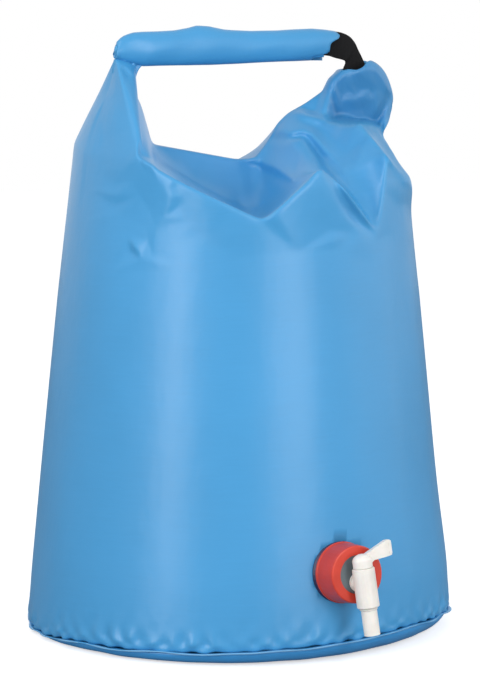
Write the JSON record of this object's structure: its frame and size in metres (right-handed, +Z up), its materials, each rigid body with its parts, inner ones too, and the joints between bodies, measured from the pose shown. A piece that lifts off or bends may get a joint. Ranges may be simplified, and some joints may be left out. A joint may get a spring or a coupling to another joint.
{
  "type": "collapsible water carrier",
  "caption": "Tapered roll-top fabric water bag with a rolled carrying grip, side-release buckle and a screw-on plug tap near the base.",
  "frame": {"origin": "centre of the base's flat underside, on the floor", "axes": "+Z up, the tap faces -Y, the mouth and its rolled grip lie along X with the pinched leg at -X and the buckle at +X"},
  "size_m": [0.299, 0.3297, 0.4096],
  "materials": {
    "coated_fabric": "semi-gloss coated nylon",
    "base_fabric": "coated nylon, darker underside",
    "navy_plastic": "moulded",
    "red_plastic": "moulded, semi-gloss",
    "white_plastic": "moulded, satin",
    "grey_plastic": "soft seal disc",
    "black_plastic": "moulded acetal",
    "black_webbing": "woven webbing",
    "strip_plastic": "extruded strip"
  },
  "bodies": {
    "lower_bag": {"base_panel": "base_fabric", "base_hem": "coated_fabric", "lower_wall": "coated_fabric", "seam_tape": "coated_fabric", "port_neck": "navy_plastic", "port_ring": "navy_plastic"},
    "upper_bag": {"upper_wall": "coated_fabric", "ear_webbing": "black_webbing", "buckle_female": "black_plastic"},
    "handle": {"mouth_roll": "coated_fabric", "mouth_strip": "strip_plastic", "roll_webbing": "black_webbing", "buckle_male": "black_plastic"},
    "tap": {"tap_disc": "grey_plastic", "tap_nut": "white_plastic", "tap_body": "white_plastic", "cap_washer": "grey_plastic"},
    "collar": {"tap_collar": "red_plastic"},
    "plug": {"tap_plug": "white_plastic"}
  },
  "joints": [
    {"name": "collapse", "type": "slide", "parent": "lower_bag", "child": "upper_bag", "axis": [0, 0, -1], "range_m": [0, 0.12]},
    {"name": "handle_swing", "type": "hinge", "parent": "upper_bag", "child": "handle", "pos_m": [-0.09077, 0, 0.3984], "axis": [0, -1, 0], "range_deg": [0, 110]},
    {"name": "tap_draw", "type": "slide", "parent": "lower_bag", "child": "tap", "axis": [0.0174, -0.9945, 0.1029], "range_m": [0, 0.0061]},
    {"name": "collar_turn", "type": "hinge", "parent": "tap", "child": "collar", "pos_m": [0.00246, -0.14111, 0.0586], "axis": [0.0174, -0.9945, 0.1029], "range_deg": [0, 720]},
    {"name": "plug_turn", "type": "hinge", "parent": "tap", "child": "plug", "pos_m": [0.00298, -0.17095, 0.06169], "axis": [0.1063, -0.1005, -0.9892], "range_deg": [0, 90]}
  ],
  "couplings": [
    {"joint": "tap_draw", "follows": "collar_turn", "m_per_rad": 0.00047746}
  ]
}
